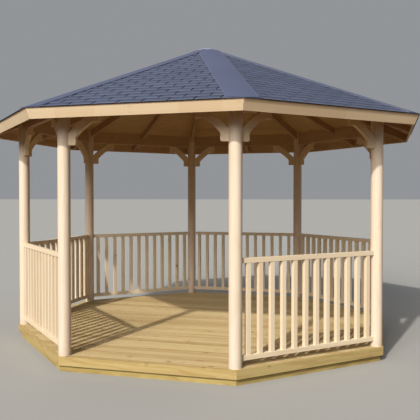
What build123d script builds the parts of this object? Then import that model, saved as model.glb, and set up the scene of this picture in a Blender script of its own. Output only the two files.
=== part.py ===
from build123d import *
import math
import os

os.makedirs("parts", exist_ok=True)

# Plan: a regular octagon, one side facing -Y left open as the entrance
SIDES = 8
STEP = 360.0 / SIDES
HALF_STEP = STEP / 2
POST_CIRCLE_R = 2159.0
RIM_CORNER_OUT = 76.0
EAVE_CORNER_OUT = 419.0

# Platform
BASE_BEAM_W = 45.0
BASE_BEAM_H = 117.0
JOIST_W = 45.0
JOISTS_EACH_SIDE = 4
DECK_T = 28.0
RIM_T = 28.0
RIM_H = 84.0

# Posts
POST_D = 120.0
POST_SOCKET_FLOOR = 52.0
SOCKET_FIT = 0.5

# Railings
RAIL_TOP = 954.0
RAIL_H = 44.0
RAIL_D = 46.0
BOTTOM_RAIL_LOW = 58.0
BALUSTER = 40.0
BALUSTERS = 12
BALUSTER_END_GAP = 48.0
RAIL_EDGE_R = 2.5

# Eave beams and braces
BEAM_W = 45.0
BEAM_LOW = 2268.0
BEAM_EDGE = 7.0
BEAM_SOCKET_FLOOR = 50.0
BRACE_T = 40.0
BRACE_FOOT_LOW = 1970.0
BRACE_FOOT_TOP = 2087.0
BRACE_FOOT_OUT = 132.0
BRACE_FOOT_ROUND = 15.0
BRACE_CURVE_LOW = 2045.0
BRACE_NOSE_IN = 300.0
BRACE_NOSE_OUT = 366.0
BRACE_NOSE_LOW = 2180.0
BRACE_HEAD_IN = 290.0
BRACE_BOW = 9.0
BRACE_TENON_L = 9.0

# Roof
PITCH = 23.0
EAVE_Z = 2277.0
FASCIA_T = 20.0
FASCIA_H = 104.0
BOARD_T = 19.0
RAFTER_W = 45.0
RAFTER_D = 70.0
HIP_RAFTER_D = 88.0
CROWN_FACES = 16
CROWN_APOTHEM = 125.0
CROWN_DROP = 30.0
CROWN_CHAMFER = 18.0
PEAK_FLAT = 85.0
MITRE_GAP = 0.5

# Covering
COVER_T = 10.0
COVER_DRIP = 8.0
HIP_STRIP_HALF = 142.0
HIP_STRIP_T = 7.0
PEAK_CAP_APOTHEM = 150.0
PEAK_CAP_T = 4.0

# Values that follow
COS_HALF = math.cos(math.radians(HALF_STEP))
SIN_HALF = math.sin(math.radians(HALF_STEP))
TAN_HALF = math.tan(math.radians(HALF_STEP))
FLOOR = BASE_BEAM_H + DECK_T
POST_APOTHEM = POST_CIRCLE_R * COS_HALF
HALF_SIDE = POST_CIRCLE_R * SIN_HALF
RIM_APOTHEM = (POST_CIRCLE_R + RIM_CORNER_OUT) * COS_HALF
BASE_APOTHEM = RIM_APOTHEM - RIM_T
JOIST_PITCH = (BASE_APOTHEM - BASE_BEAM_W) / (JOISTS_EACH_SIDE + 0.5)
BALUSTER_RUN = 2 * HALF_SIDE - POST_D - 2 * BALUSTER_END_GAP - BALUSTER
BALUSTER_PITCH = BALUSTER_RUN / (BALUSTERS - 1)
EAVE_CORNER_R = POST_CIRCLE_R + EAVE_CORNER_OUT
EAVE_APOTHEM = EAVE_CORNER_R * COS_HALF
SLOPE_L = EAVE_APOTHEM / math.cos(math.radians(PITCH))
PEAK_Z = FLOOR + EAVE_Z + EAVE_APOTHEM * math.tan(math.radians(PITCH))
HIP_PITCH = math.degrees(math.atan2(PEAK_Z - FLOOR - EAVE_Z, EAVE_CORNER_R))
HIP_L = EAVE_CORNER_R / math.cos(math.radians(HIP_PITCH))
UNDERSIDE_DROP = BOARD_T / math.cos(math.radians(PITCH))
PEAK_FLAT_DROP = PEAK_FLAT * math.tan(math.radians(PITCH))

# Reach of cutting blocks that must clear the whole gazebo, and of blanks past the peak
REACH = 1.25 * EAVE_CORNER_R
OVERRUN = 400.0

SIDE_NAMES = [
    "front",
    "front_right",
    "right",
    "back_right",
    "back",
    "back_left",
    "left",
    "front_left",
]
POST_NAMES = [
    "front_right",
    "right_front",
    "right_back",
    "back_right",
    "back_left",
    "left_back",
    "left_front",
    "front_left",
]


def block(x0, x1, y0, y1, z0, z1):
    """A box between two corners."""
    return Pos((x0 + x1) / 2, (y0 + y1) / 2, (z0 + z1) / 2) * Box(x1 - x0, y1 - y0, z1 - z0)


def on_side(k, shape):
    """Turns a shape made on the front side round to side k."""
    return Rot(0, 0, STEP * k) * shape


def in_side_frame(k):
    """Middle of side k on the line of post axes: x along the side, y inward."""
    return Rot(0, 0, STEP * k) * Pos(0, -POST_APOTHEM, 0)


def in_roof_frame(k):
    """Outer top edge of the fascia on side k: y up the slope, z square to it."""
    return Rot(0, 0, STEP * k) * Pos(0, -EAVE_APOTHEM, FLOOR + EAVE_Z) * Rot(PITCH, 0, 0)


def above_roof_plane(k, height):
    """Everything above the plane that lies a given height over the board tops."""
    return in_roof_frame(k) * block(-REACH, REACH, -REACH, 2 * REACH, height, REACH)


def sector(k, gap=MITRE_GAP):
    """The wedge of plan that belongs to side k, held back from both mitre planes."""
    inset = gap / SIN_HALF
    width = (REACH - inset) * TAN_HALF
    plan = make_face(Polyline((0, -inset), (-width, -REACH), (width, -REACH), (0, -inset)))
    return on_side(k, extrude(plan, amount=2 * REACH))


def octagon(apothem, z0, z1):
    """An upright octagonal block with a flat side facing the front."""
    plan = RegularPolygon(radius=apothem, side_count=SIDES, major_radius=False)
    plan = Rot(0, 0, HALF_STEP) * plan
    faces = extrude(plan, amount=z1 - z0)
    return Pos(0, 0, z0) * faces


def single(shape):
    """The one solid of a shape that a cut has left whole."""
    solids = shape.solids()
    assert len(solids) == 1, len(solids)
    return solids[0]


def save(name, solids):
    """Writes one node, labelled with its own name."""
    solids = list(solids)
    if len(solids) == 1:
        body = solids[0]
    else:
        body = Compound(children=solids)
    body.label = name
    export_step(body, os.path.join("parts", name + ".step"))


# Platform: perimeter beams, joists, deck and rim
def base_beam(k):
    beam = block(-REACH, REACH, -BASE_APOTHEM, -BASE_APOTHEM + BASE_BEAM_W, 0, BASE_BEAM_H)
    return single(on_side(k, beam) & sector(k))


def joists():
    room = octagon(BASE_APOTHEM - BASE_BEAM_W, 0, BASE_BEAM_H)
    found = []
    for i in range(-JOISTS_EACH_SIDE, JOISTS_EACH_SIDE + 1):
        x = i * JOIST_PITCH
        joist = block(x - JOIST_W / 2, x + JOIST_W / 2, -REACH, REACH, 0, BASE_BEAM_H)
        found.append(single(joist & room))
    return found


def rim_board(k):
    board = block(-REACH, REACH, -RIM_APOTHEM, -BASE_APOTHEM, FLOOR - RIM_H, FLOOR)
    return single(on_side(k, board) & sector(k))


# Posts: turned round, with flat-bottomed sockets for rails, braces, beams and hip rafter
def socket_pair(z0, z1, thickness, floor):
    """Cutters for both ends of a side, in its side frame."""
    half = thickness / 2 + SOCKET_FIT
    start = HALF_SIDE - floor
    end = HALF_SIDE - POST_D
    left = block(-start, -end, -half, half, z0 - SOCKET_FIT, z1 + SOCKET_FIT)
    right = block(end, start, -half, half, z0 - SOCKET_FIT, z1 + SOCKET_FIT)
    return left, right


def side_sockets(has_railing):
    """All sockets that one side asks for, at its left and its right post."""
    rows = [
        (FLOOR + BEAM_LOW, PEAK_Z, BEAM_W, BEAM_SOCKET_FLOOR),
        (FLOOR + BRACE_FOOT_LOW, FLOOR + BRACE_FOOT_TOP, BRACE_T, POST_SOCKET_FLOOR),
    ]
    if has_railing:
        low = FLOOR + BOTTOM_RAIL_LOW
        top = FLOOR + RAIL_TOP
        rows.append((low, low + RAIL_H, RAIL_D, POST_SOCKET_FLOOR))
        rows.append((top - RAIL_H, top, RAIL_D, POST_SOCKET_FLOOR))
    left = []
    right = []
    for row in rows:
        pair = socket_pair(*row)
        left.append(pair[0])
        right.append(pair[1])
    return left, right


def hip_rafter(k):
    """Hip rafter above post k, backed to both roof faces and pointed at the fascia mitre."""
    turn = Rot(0, 0, STEP * k + HALF_STEP)
    slope = Pos(0, -EAVE_CORNER_R, FLOOR + EAVE_Z - UNDERSIDE_DROP) * Rot(HIP_PITCH, 0, 0)
    half = RAFTER_W / 2
    rafter = turn * slope * block(-half, half, -FASCIA_H, HIP_L, -HIP_RAFTER_D, OVERRUN)
    for side in (k, k + 1):
        rafter = rafter - above_roof_plane(side, -BOARD_T)
        rafter = rafter - in_roof_frame(side) * block(
            -REACH, REACH, -REACH, FASCIA_T, -REACH, REACH
        )
    return single(rafter - crown_room())


def hip_rafter_slot(k):
    """The slot that post k gives to its hip rafter, open at the top."""
    turn = Rot(0, 0, STEP * k + HALF_STEP)
    slope = Pos(0, -EAVE_CORNER_R, FLOOR + EAVE_Z - UNDERSIDE_DROP) * Rot(HIP_PITCH, 0, 0)
    half = RAFTER_W / 2 + SOCKET_FIT
    return turn * slope * block(-half, half, -FASCIA_H, HIP_L, -HIP_RAFTER_D, OVERRUN)


def post(k):
    turn = Rot(0, 0, STEP * k + HALF_STEP)
    length = PEAK_Z - FLOOR
    body = Cylinder(POST_D / 2, length, align=(Align.CENTER, Align.CENTER, Align.MIN))
    body = turn * Pos(0, -POST_CIRCLE_R, FLOOR) * body
    for side in (k, k + 1):
        body = body - above_roof_plane(side, -BOARD_T)
    own = k % SIDES
    after = (k + 1) % SIDES
    for cutter in side_sockets(own != 0)[1]:
        body = body - in_side_frame(own) * cutter
    for cutter in side_sockets(after != 0)[0]:
        body = body - in_side_frame(after) * cutter
    return single(body - hip_rafter_slot(k))


# Railing panel: two rails housed in the posts, square balusters between them
def railing(k):
    reach = HALF_SIDE - POST_SOCKET_FLOOR
    low = FLOOR + BOTTOM_RAIL_LOW
    top = FLOOR + RAIL_TOP
    half = RAIL_D / 2
    rails = []
    for z0 in (low, top - RAIL_H):
        rail = block(-reach, reach, -half, half, z0, z0 + RAIL_H)
        long_edges = rail.edges().filter_by(Axis.X)
        rails.append(fillet(long_edges, RAIL_EDGE_R))
    panel = rails[0]
    panel = panel + rails[1]
    for i in range(BALUSTERS):
        x = (i - (BALUSTERS - 1) / 2) * BALUSTER_PITCH
        bar = block(
            x - BALUSTER / 2,
            x + BALUSTER / 2,
            -BALUSTER / 2,
            BALUSTER / 2,
            low + RAIL_H,
            top - RAIL_H,
        )
        panel = panel + bar
    return single(in_side_frame(k) * panel)


# Eave beam: bevelled to the roof, halved over the middle rafter
def halving(k, upper):
    """Half of the crossing of eave beam and middle rafter, above or below the middle."""
    half = RAFTER_W / 2
    middle = -BOARD_T - RAFTER_D / 2
    if upper:
        room = block(-half, half, -REACH, REACH, middle, REACH)
    else:
        room = block(-half, half, -REACH, REACH, -REACH, middle)
    wall = in_side_frame(k) * block(-half, half, -BEAM_W / 2, BEAM_W / 2, 0, PEAK_Z)
    return (in_roof_frame(k) * room) & wall


def eave_beam(k):
    reach = HALF_SIDE - BEAM_SOCKET_FLOOR
    half = BEAM_W / 2
    beam = block(-reach, reach, -half, half, FLOOR + BEAM_LOW, PEAK_Z)
    low_edges = beam.edges().filter_by(Axis.X).group_by(Axis.Z)[0]
    beam = in_side_frame(k) * chamfer(low_edges, BEAM_EDGE)
    beam = beam - above_roof_plane(k, -BOARD_T)
    return single(beam - halving(k, True))


def middle_rafter(k):
    half = RAFTER_W / 2
    rafter = in_roof_frame(k) * block(
        -half, half, FASCIA_T, SLOPE_L, -BOARD_T - RAFTER_D, -BOARD_T
    )
    return single(rafter - halving(k, False) - crown_room())


# Knee braces: a foot on the post, a slightly hollow diagonal and a nose under the beam
def bowed(start, end):
    """An arc from start to end that swells BRACE_BOW to the left of the straight line."""
    run = end[0] - start[0]
    rise = end[1] - start[1]
    length = math.hypot(run, rise)
    middle_x = (start[0] + end[0]) / 2 - BRACE_BOW * rise / length
    middle_z = (start[1] + end[1]) / 2 + BRACE_BOW * run / length
    return ThreePointArc(start, (middle_x, middle_z), end)


def brace_pair():
    """Left and right brace of one side, in its side frame."""
    foot_in = POST_SOCKET_FLOOR
    shoulder = POST_SOCKET_FLOOR + BRACE_TENON_L
    corner = BRACE_FOOT_ROUND
    nick = corner * (1 - math.sqrt(0.5))
    line = [
        Line((foot_in, BRACE_FOOT_LOW), (BRACE_FOOT_OUT - corner, BRACE_FOOT_LOW)),
        ThreePointArc(
            (BRACE_FOOT_OUT - corner, BRACE_FOOT_LOW),
            (BRACE_FOOT_OUT - nick, BRACE_FOOT_LOW + nick),
            (BRACE_FOOT_OUT, BRACE_FOOT_LOW + corner),
        ),
        Line((BRACE_FOOT_OUT, BRACE_FOOT_LOW + corner), (BRACE_FOOT_OUT, BRACE_CURVE_LOW)),
        bowed((BRACE_FOOT_OUT, BRACE_CURVE_LOW), (BRACE_NOSE_IN, BRACE_NOSE_LOW)),
        Line((BRACE_NOSE_IN, BRACE_NOSE_LOW), (BRACE_NOSE_OUT, BRACE_NOSE_LOW)),
        Line((BRACE_NOSE_OUT, BRACE_NOSE_LOW), (BRACE_NOSE_OUT, BEAM_LOW)),
        Line((BRACE_NOSE_OUT, BEAM_LOW), (BRACE_HEAD_IN, BEAM_LOW)),
        bowed((shoulder, BRACE_FOOT_TOP), (BRACE_HEAD_IN, BEAM_LOW)),
        Line((shoulder, BRACE_FOOT_TOP), (foot_in, BRACE_FOOT_TOP)),
        Line((foot_in, BRACE_FOOT_TOP), (foot_in, BRACE_FOOT_LOW)),
    ]
    plan = make_face(line)
    flat = extrude(plan, amount=BRACE_T)
    upright = Pos(0, BRACE_T / 2, FLOOR) * Rot(90, 0, 0) * flat
    left = Pos(-HALF_SIDE, 0, 0) * upright
    right = mirror(left, about=Plane.YZ)
    return left, right


def braces():
    left, right = brace_pair()
    found = []
    for k in range(SIDES):
        found.append(single(in_side_frame(k) * left))
        found.append(single(in_side_frame(k) * right))
    return found


# Crown: the many-sided block at the peak that all rafters butt against
def crown_prism(z0, z1):
    plan = RegularPolygon(radius=CROWN_APOTHEM, side_count=CROWN_FACES, major_radius=False)
    plan = Rot(0, 0, 180.0 / CROWN_FACES) * plan
    return Pos(0, 0, z0) * extrude(plan, amount=z1 - z0)


def crown_room():
    return crown_prism(FLOOR, PEAK_Z)


def crown():
    plane_z = PEAK_Z - UNDERSIDE_DROP - CROWN_APOTHEM * math.tan(math.radians(PITCH))
    low = plane_z - RAFTER_D / math.cos(math.radians(PITCH)) - CROWN_DROP
    body = crown_prism(low, PEAK_Z - UNDERSIDE_DROP - PEAK_FLAT_DROP)
    for k in range(SIDES):
        body = body - above_roof_plane(k, -BOARD_T)
    low_edges = body.edges().group_by(Axis.Z)[0]
    return single(chamfer(low_edges, CROWN_CHAMFER))


# Roof panels, fascia and covering; everything stops at the blunt peak
def peak_hole():
    return octagon(PEAK_FLAT, 0, 2 * REACH)


def roof_panel(k):
    panel = in_roof_frame(k) * block(-REACH, REACH, FASCIA_T, SLOPE_L, -BOARD_T, 0)
    return single((panel & sector(k)) - peak_hole())


def fascia_board(k):
    board = in_roof_frame(k) * block(-REACH, REACH, 0, FASCIA_T, -FASCIA_H, 0)
    return single(board & sector(k))


def cover_panel(k):
    panel = in_roof_frame(k) * block(-REACH, REACH, -COVER_DRIP, SLOPE_L + OVERRUN, 0, COVER_T)
    return single((panel & sector(k)) - peak_hole())


def strip_half(k, hand):
    """One leg of a hip strip, on side k; hand +1 lies along its right hip."""
    grade = EAVE_APOTHEM * TAN_HALF / SLOPE_L
    drip_x = (SLOPE_L + COVER_DRIP) * grade
    width = HIP_STRIP_HALF * math.sqrt(1 + grade * grade)
    outer = [
        (MITRE_GAP, SLOPE_L - (MITRE_GAP + width) / grade),
        (drip_x - width, -COVER_DRIP),
        (drip_x + OVERRUN, -COVER_DRIP),
        (drip_x + OVERRUN, SLOPE_L + OVERRUN),
        (MITRE_GAP, SLOPE_L + OVERRUN),
    ]
    points = []
    for x, y in outer:
        points.append((hand * x, y))
    plan = make_face(Polyline(*points, close=True))
    slab = Pos(0, 0, COVER_T) * extrude(plan, amount=HIP_STRIP_T, dir=(0, 0, 1))
    return (in_roof_frame(k) * slab) & sector(k, 0.0)


def hip_strip(k):
    """The strip folded over the hip between sides k and k + 1."""
    strip = strip_half(k, 1) + strip_half(k + 1, -1)
    return single(strip - peak_hole())


def blunt_pyramid(apothem, height):
    """All that lies under the eight planes at a height over the boards, cut flat at the peak."""
    top = PEAK_Z + height / math.cos(math.radians(PITCH)) - PEAK_FLAT_DROP
    body = octagon(apothem, FLOOR, top)
    for k in range(SIDES):
        body = body - above_roof_plane(k, height)
    return body


def peak_cap():
    """A low blunt cap over the meeting of the hip strips."""
    seat = COVER_T + HIP_STRIP_T
    body = blunt_pyramid(PEAK_CAP_APOTHEM, seat + PEAK_CAP_T)
    return single(body - blunt_pyramid(OVERRUN, seat))


save("base_frame", [base_beam(k) for k in range(SIDES)])
save("deck_joists", joists())
save("deck_floor", [single(octagon(BASE_APOTHEM, BASE_BEAM_H, FLOOR))])
save("deck_rim", [rim_board(k) for k in range(SIDES)])
for k in range(SIDES):
    save("post_" + POST_NAMES[k], [post(k)])
    save("eave_beam_" + SIDE_NAMES[k], [eave_beam(k)])
    save("roof_panel_" + SIDE_NAMES[k], [roof_panel(k)])
    if k != 0:
        save("railing_" + SIDE_NAMES[k], [railing(k)])
save("knee_braces", braces())
save("hip_rafters", [hip_rafter(k) for k in range(SIDES)])
save("middle_rafters", [middle_rafter(k) for k in range(SIDES)])
save("crown", [crown()])
save("fascia", [fascia_board(k) for k in range(SIDES)])
save("roof_covering", [cover_panel(k) for k in range(SIDES)])
save("hip_strips", [hip_strip(k) for k in range(SIDES)])
save("peak_cap", [peak_cap()])
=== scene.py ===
"""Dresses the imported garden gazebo: boards, shingles, felt strips, screws and timber finishes."""
import logging
import math
from collections.abc import Callable, Sequence
from dataclasses import asdict, dataclass, field
from enum import Enum

import bmesh
import bpy
from mathutils import Matrix, Vector


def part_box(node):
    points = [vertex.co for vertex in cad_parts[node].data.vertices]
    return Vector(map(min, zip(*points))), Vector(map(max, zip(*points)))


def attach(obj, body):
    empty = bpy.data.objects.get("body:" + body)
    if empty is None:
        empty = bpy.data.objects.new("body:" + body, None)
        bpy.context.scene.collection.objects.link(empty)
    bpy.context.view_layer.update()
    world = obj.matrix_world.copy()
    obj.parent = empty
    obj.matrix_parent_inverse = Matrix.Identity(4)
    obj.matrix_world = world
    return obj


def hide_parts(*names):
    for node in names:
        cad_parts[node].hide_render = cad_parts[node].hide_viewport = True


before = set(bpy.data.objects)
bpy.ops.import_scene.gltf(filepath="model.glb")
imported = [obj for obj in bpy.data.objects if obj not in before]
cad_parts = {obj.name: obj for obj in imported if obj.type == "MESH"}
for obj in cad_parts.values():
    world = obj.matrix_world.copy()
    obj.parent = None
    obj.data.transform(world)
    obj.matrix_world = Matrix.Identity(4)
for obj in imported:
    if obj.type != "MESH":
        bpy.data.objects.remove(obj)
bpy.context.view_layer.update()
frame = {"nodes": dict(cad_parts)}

log = logging.getLogger("gazebo")

Node = bpy.types.Node
Tree = bpy.types.NodeTree
Piece = bpy.types.Object
Material = bpy.types.Material
Triple = tuple[float, float, float]
Outline = list[tuple[float, float]]
Form = tuple[list[Vector], list[list[int]]]

# Metres, beyond the reach of any face, for a limit that holds nothing back
FAR = 100.0


@dataclass(frozen=True)
class Plan:
    """Sizes that the whole gazebo shares, in metres; the open side of the octagon faces -Y."""

    sides: int = 8
    floor_z: float = 0.145
    deck_apothem: float = 2.03687
    rim_apothem: float = 2.06487
    joist_pitch: float = 0.44264
    post_circle: float = 2.159
    bottom_rail_top: float = 0.102
    top_rail_low: float = 0.910
    baluster_pitch: float = 0.12695
    eave_apothem: float = 2.38176
    eave_z: float = 2.422
    pitch: float = math.radians(23.0)
    peak_flat: float = 0.085
    cover: float = 0.010
    drip: float = 0.008

    @property
    def step(self) -> float:
        """Angle between two sides."""
        return 2 * math.pi / self.sides

    @property
    def tan_half(self) -> float:
        """Half a side's width for each metre of apothem."""
        return math.tan(self.step / 2)

    @property
    def post_apothem(self) -> float:
        """Distance from the middle to the line of post axes."""
        return self.post_circle * math.cos(self.step / 2)

    @property
    def half_side(self) -> float:
        """Half the distance between two neighbouring post axes."""
        return self.post_circle * math.sin(self.step / 2)

    @property
    def top(self) -> float:
        """How far up the slope the boards and the felt run before the blunt peak."""
        return (self.eave_apothem - self.peak_flat) / math.cos(self.pitch)

    @property
    def grade(self) -> float:
        """Half width that a roof face loses for each metre up the slope."""
        return math.cos(self.pitch) * self.tan_half

    @property
    def lean(self) -> float:
        """Half width that a roof face gains for each metre square to it."""
        return math.sin(self.pitch) * self.tan_half

    @property
    def hip_pitch(self) -> float:
        """Pitch of the hip rafters."""
        return math.atan(math.tan(self.pitch) * math.cos(self.step / 2))

    @property
    def roof_values(self) -> dict[str, float | tuple]:
        """What every tree that covers the roof is told about its faces."""
        eave = (0.0, -self.eave_apothem, self.eave_z)
        values = {"Grade": self.grade, "Lean": self.lean, "Tilt": self.pitch, "Eave": eave}
        return {**values, "Sides": self.sides, "Cap": FAR, "Limit": FAR}

    def on_side(self, side: float) -> Matrix:
        """Turns the front side round to another side."""
        return Matrix.Rotation(side * self.step, 4, "Z")

    def side_frame(self, side: float) -> Matrix:
        """Frame on the line of post axes: x along the side, y inward, z up from the ground."""
        return self.on_side(side) @ Matrix.Translation((0, -self.post_apothem, 0))

    def roof_frame(self, side: float) -> Matrix:
        """Frame on the eave edge: x along it, y up the slope, z square to the boards."""
        eave = Matrix.Translation((0, -self.eave_apothem, self.eave_z))
        return self.on_side(side) @ eave @ Matrix.Rotation(self.pitch, 4, "X")

    def half_width(self, y: float, z: float = 0.0) -> float:
        """Half the width of a roof face at a place up its slope and off its boards."""
        return self.eave_apothem * self.tan_half - self.grade * y + self.lean * z


PLAN = Plan()


# Laying out nodes


def operator_node(operation: str, swapped: bool = False) -> Callable:
    """Makes one operator of Value.

    Args:
        operation: The operation of the math node that it adds.
        swapped: Whether the other term comes first.

    Returns:
        The operator.
    """

    def reckon(self: "Value", other: "Feed") -> "Value":
        """Adds the node."""
        terms = (other, self) if swapped else (self, other)
        return self.bench.math(operation, *terms)

    return reckon


@dataclass(frozen=True)
class Value:
    """A node's output to reckon with; each operator adds one math node to the tree."""

    bench: "Bench"
    socket: bpy.types.NodeSocket

    __add__ = operator_node("ADD")
    __sub__ = operator_node("SUBTRACT")
    __rsub__ = operator_node("SUBTRACT", swapped=True)
    __mul__ = operator_node("MULTIPLY")
    __truediv__ = operator_node("DIVIDE")


Feed = float | int | str | tuple | Value
Feeds = dict[str | int, Feed]


class Bench:
    """Lays out one node tree; most calls add a node and give an output to use next."""

    def __init__(self, tree: Tree) -> None:
        """Takes the shader or geometry node tree to lay out."""
        self.tree = tree

    def feed(self, node: Node, feeds: Feeds) -> None:
        """Links outputs to a node's inputs, or sets the inputs' own values.

        Args:
            node: The node.
            feeds: Input name or number to a number, colour, text or output.
        """
        for key, value in feeds.items():
            if isinstance(key, int):
                socket = node.inputs[key]
            else:
                socket = next(s for s in node.inputs if s.name == key and s.enabled)
            if isinstance(value, Value):
                self.tree.links.new(value.socket, socket)
            elif isinstance(value, tuple) and socket.type == "RGBA" and len(value) == 3:
                socket.default_value = (*value, 1.0)
            else:
                socket.default_value = value

    def put(self, kind: str, feeds: Feeds, **settings: object) -> Node:
        """Adds a node.

        Args:
            kind: Blender's name of the node type.
            feeds: What goes into its inputs.
            settings: The node's own settings.

        Returns:
            The node.
        """
        node = self.tree.nodes.new(kind)
        for name, value in settings.items():
            setattr(node, name, value)
        self.feed(node, feeds)
        return node

    def tap(self, node: Node, name: str = "") -> Value:
        """A node's output with this name, or its first one in use."""
        return Value(self, next(s for s in node.outputs if s.enabled and name in ("", s.name)))

    def get(self, kind: str, feeds: Feeds, out: str = "", **settings: object) -> Value:
        """Adds a node as put does, and gives its named output or its first one in use."""
        return self.tap(self.put(kind, feeds, **settings), out)

    def math(self, operation: str, *terms: Feed) -> Value:
        """Adds one math node, over vectors where a term is one.

        Args:
            operation: What it does.
            terms: Numbers, vectors or outputs.

        Returns:
            Its result.
        """
        outputs = [term.socket.type for term in terms if isinstance(term, Value)]
        wide = "VECTOR" in outputs or any(isinstance(term, tuple) for term in terms)
        kind = "ShaderNodeVectorMath" if wide else "ShaderNodeMath"
        return self.get(kind, dict(enumerate(terms)), operation=operation)

    def mad(self, value: Feed, times: Feed, plus: Feed) -> Value:
        """A value times a second one, plus a third."""
        return self.math("MULTIPLY_ADD", value, times, plus)

    def join(self, x: Feed, y: Feed, z: Feed) -> Value:
        """A vector from three numbers."""
        return self.get("ShaderNodeCombineXYZ", {0: x, 1: y, 2: z})

    def split(self, vector: Value) -> list[Value]:
        """The three numbers of a vector."""
        return [Value(self, s) for s in self.put("ShaderNodeSeparateXYZ", {0: vector}).outputs]

    def fade(self, value: Feed, low: Feed, high: Feed) -> Value:
        """0 below one limit, 1 above the other and a smooth rise between them."""
        feeds = {"Value": value, "From Min": low, "From Max": high}
        return self.get("ShaderNodeMapRange", feeds, interpolation_type="SMOOTHSTEP")

    def clamp(self, value: Value) -> Value:
        """A value held between 0 and 1."""
        return self.get("ShaderNodeClamp", {"Value": value})

    def mix(self, factor: Feed, first: Feed, second: Feed, kind: str = "RGBA") -> Value:
        """A mix of two colours, or of two values of another kind."""
        feeds = {"Factor": factor, "A": first, "B": second}
        return self.get("ShaderNodeMix", feeds, data_type=kind)

    def noise(self, vector: Value, scale: float, detail: float = 2.0) -> Value:
        """Smooth random values from 0 to 1, around one half."""
        feeds = {"Vector": vector, "Scale": scale, "Detail": detail}
        return self.get("ShaderNodeTexNoise", feeds, "Fac")

    def hash(self, value: Feed) -> Value:
        """A random value from 0 to 1 that depends on one number."""
        return self.get("ShaderNodeTexWhiteNoise", {"W": value}, "Value", noise_dimensions="1D")

    def point(self) -> Value:
        """The point on the object that is shaded."""
        return self.get("ShaderNodeTexCoord", {}, "Object")

    def attribute(self, name: str, out: str = "Fac") -> Value:
        """An attribute that the mesh carries."""
        return self.get("ShaderNodeAttribute", {}, out, attribute_name=name)

    def group(self, tree: Tree, feeds: Feeds) -> dict[str, Value]:
        """Places a node group and gives its outputs by name."""
        node = self.put(self.tree.bl_idname.replace("Tree", "Group"), feeds, node_tree=tree)
        return {s.name: Value(self, s) for s in node.outputs}

    def position(self) -> list[Value]:
        """The three numbers of a mesh point's place."""
        return self.split(self.get("GeometryNodeInputPosition", {}))

    def random(self, feeds: Feeds) -> Value:
        """A random number for each element, from 0 to 1 unless told otherwise."""
        feeds = {"Min": 0.0, "Max": 1.0, **feeds}
        return self.get("FunctionNodeRandomValue", feeds, data_type="FLOAT")

    def spread(self, points: Value, piece: Value, turn: Feed = (0.0, 0.0, 0.0)) -> Value:
        """Puts an instance of a piece on each point."""
        feeds = {"Points": points, "Instance": piece, "Rotation": turn}
        return self.get("GeometryNodeInstanceOnPoints", feeds)

    def store(self, geometry: Value, name: str, value: Value, domain: str, kind: str = "FLOAT") -> Value:
        """Stores a named attribute for the finish to read.

        Args:
            geometry: What to store it on.
            name: The attribute's name.
            value: Its value.
            domain: "POINT" or "INSTANCE".
            kind: "FLOAT" or "FLOAT_VECTOR".

        Returns:
            The geometry with the attribute.
        """
        feeds = {"Geometry": geometry, "Name": name, "Value": value}
        return self.get("GeometryNodeStoreNamedAttribute", feeds, data_type=kind, domain=domain)

    def realize(self, geometry: Value) -> Value:
        """Turns instances into plain geometry."""
        return self.get("GeometryNodeRealizeInstances", {"Geometry": geometry})

    def finish(self, geometry: Value, material: Value) -> Value:
        """Gives geometry its material."""
        return self.get("GeometryNodeSetMaterial", {"Geometry": geometry, "Material": material})


Start = tuple[Bench, dict[str, Value], Node]


def new_tree(name: str, kind: str, inputs: dict[str, list[str]], outputs: dict[str, list[str]]) -> Start:
    """Starts a node group.

    Args:
        name: The group's name.
        kind: "ShaderNodeTree" or "GeometryNodeTree".
        inputs: Kind of socket to the names of the inputs of that kind.
        outputs: The same for its outputs.

    Returns:
        The bench for the group, its inputs by name, and its output node.
    """
    tree = bpy.data.node_groups.new(name, kind)
    for way, sockets in (("INPUT", inputs), ("OUTPUT", outputs)):
        for socket, labels in sockets.items():
            for label in labels:
                tree.interface.new_socket(label, in_out=way, socket_type="NodeSocket" + socket)
    bench = Bench(tree)
    entry = tree.nodes.new("NodeGroupInput")
    return bench, {s.name: Value(bench, s) for s in entry.outputs}, tree.nodes.new("NodeGroupOutput")


def shade(red: int, green: int, blue: int) -> Triple:
    """A colour seen as 0 to 255 values, turned into linear light."""
    parts = (part / 255 for part in (red, green, blue))
    return tuple(p / 12.92 if p <= 0.04045 else ((p + 0.055) / 1.055) ** 2.4 for p in parts)


# Shared effects


def lay_tree() -> Tree:
    """Group that turns a point of the gazebo into a place on its own member.

    Returns:
        The group. It finds the side or the post that a point belongs to, and gives the
        point along the grain, across the face and into the wood, and the member's number.
    """
    vectors = ["Point", "Centre", "Along", "Across", "Into"]
    inputs = {"Vector": vectors, "Float": ["Half turn", "Fold"]}
    outputs = {"Vector": ["Lay"], "Float": ["Member"]}
    b, given, out = new_tree("Place on a member", "ShaderNodeTree", inputs, outputs)
    half_turn, fold = given["Half turn"], given["Fold"]
    x, y, z = b.split(given["Point"])
    turn = b.math("ARCTAN2", x, y * -1.0) / PLAN.step
    number = b.math("ROUND", turn - half_turn)
    angle = (number + half_turn) * PLAN.step
    cos, sin = b.math("COSINE", angle), b.math("SINE", angle)
    tangent = x * cos + y * sin
    outward = x * sin - y * cos
    folded = b.math("ABSOLUTE", tangent) * fold
    plain = tangent * (1.0 - fold)
    local = b.join(folded + plain, outward, z) - given["Centre"]
    lay = b.join(*(b.math("DOT_PRODUCT", local, given[axis]) for axis in vectors[2:]))
    hand = b.math("SIGN", tangent) * fold
    hand_step = 0.37
    b.feed(out, {"Lay": lay, "Member": number + hand * hand_step})
    return b.tree


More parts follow.
